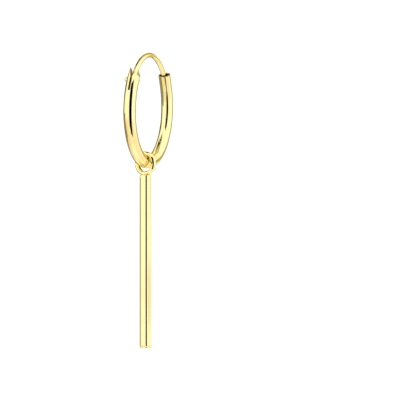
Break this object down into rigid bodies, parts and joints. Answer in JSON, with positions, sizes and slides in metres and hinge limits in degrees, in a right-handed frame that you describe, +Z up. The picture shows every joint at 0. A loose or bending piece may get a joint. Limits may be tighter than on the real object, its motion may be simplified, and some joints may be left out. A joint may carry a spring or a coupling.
{
  "type": "bar drop hoop earring",
  "caption": "Polished gold hinged sleeper hoop of round tube, whose thin ear wire closes into a socket, with a long square bar hanging from it by a ring soldered to the bar's top.",
  "frame": {"origin": "on the centre line of the ear wire at its top, where the closed earring hangs in the ear lobe", "axes": "+Z up; +X along the ear wire at its top, from the hinge towards the socket; +Y across the hoop, away from the side that the picture shows"},
  "size_m": [0.012, 0.0024, 0.0298],
  "materials": {
    "gold": "polished"
  },
  "bodies": {
    "hoop": {"hoop_tube": "gold", "hinge_pin": "gold"},
    "wire": {"ear_wire": "gold"},
    "drop": {"bar_pendant": "gold"}
  },
  "joints": [
    {"name": "ear_wire_hinge", "type": "hinge", "parent": "hoop", "child": "wire", "pos_m": [-0.00471, 0.00011, -0.00278], "axis": [0, -0.9993, -0.0384], "range_deg": [0, 110]},
    {"name": "drop_swing", "type": "hinge", "parent": "hoop", "child": "drop", "pos_m": [-0.0005, 0.00041, -0.01078], "axis": [1, 0, 0], "range_deg": [-150, 150]}
  ]
}
